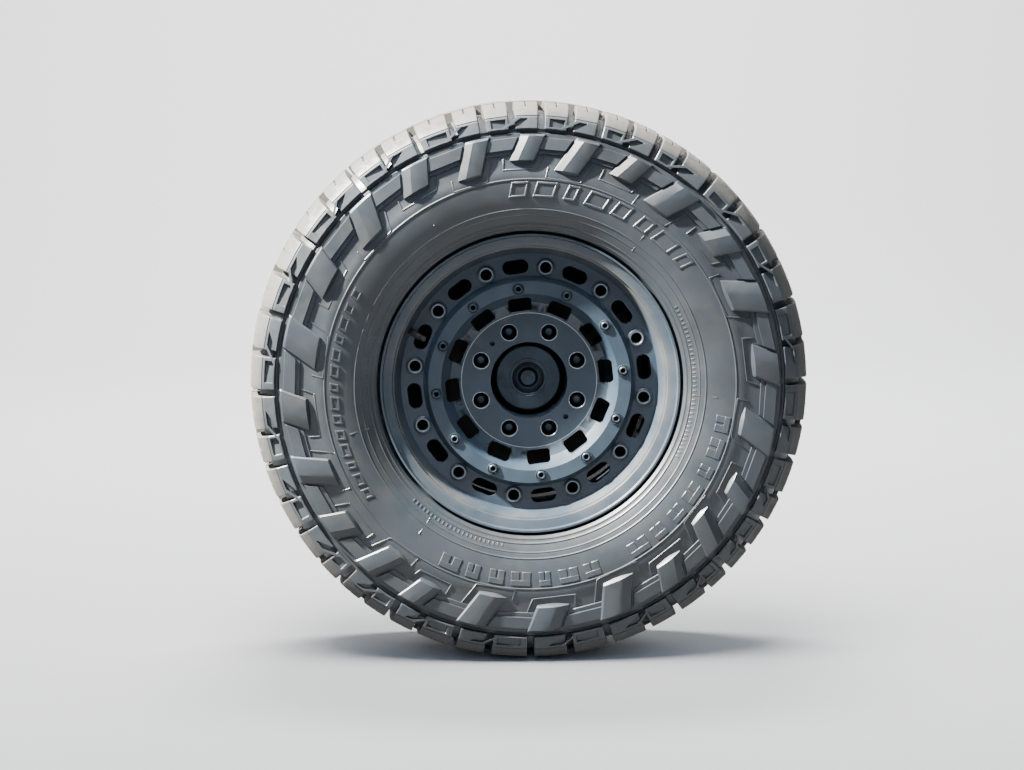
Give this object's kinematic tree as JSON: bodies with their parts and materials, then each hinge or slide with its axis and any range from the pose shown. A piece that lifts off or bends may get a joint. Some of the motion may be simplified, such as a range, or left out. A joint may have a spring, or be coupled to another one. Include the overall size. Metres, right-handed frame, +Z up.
{
  "type": "front wheel end of a lifted off-road 4x4",
  "caption": "Front wheel end of a lifted off-road 4x4: mud tyre on a black bolt-ring wheel, hub, brake and knuckle.",
  "frame": {"origin": "centre of the lower ball joint bore in the knuckle", "axes": "+Z up along the ball joint line, +Y toward the vehicle's middle along the wheel's axis, +X to the vehicle's rear"},
  "size_m": [0.884, 0.3835, 0.884],
  "materials": {
    "tyre_rubber": "matt, dusty on the tread faces",
    "black_paint": "satin",
    "black_steel": "satin black oxide",
    "plated_steel": "dull plating",
    "machined_steel": "turned, lightly rusted",
    "grey_iron": "ground faces, rusted hat",
    "painted_iron": "cast, black paint",
    "brake_lining": "matt",
    "shield_steel": "dull",
    "valve_rubber": "matt",
    "black_plastic": "matt"
  },
  "bodies": {
    "knuckle": {"knuckle": "painted_iron", "hub_bearing": "machined_steel", "bearing_bolts": "plated_steel", "caliper_bracket": "painted_iron", "bracket_bolts": "plated_steel", "brake_caliper": "painted_iron", "guide_pins": "plated_steel", "brake_pad_outer": "brake_lining", "brake_pad_inner": "brake_lining", "dust_shield": "shield_steel"},
    "wheel": {"wheel_rim": "black_paint", "tyre": "tyre_rubber", "ring_bolts": "black_steel", "face_screws": "black_steel", "lug_nuts": "black_steel", "wheel_studs": "plated_steel", "hub": "black_steel", "stub_shaft": "machined_steel", "axle_nut": "black_steel", "brake_disc": "grey_iron", "valve_stem": "valve_rubber", "valve_cap": "black_plastic", "balance_weights": "plated_steel"}
  },
  "joints": [
    {"name": "wheel_spin", "type": "hinge", "parent": "knuckle", "child": "wheel", "pos_m": [0, -0.175, 0.13], "axis": [0, -1, 0], "continuous": true}
  ]
}
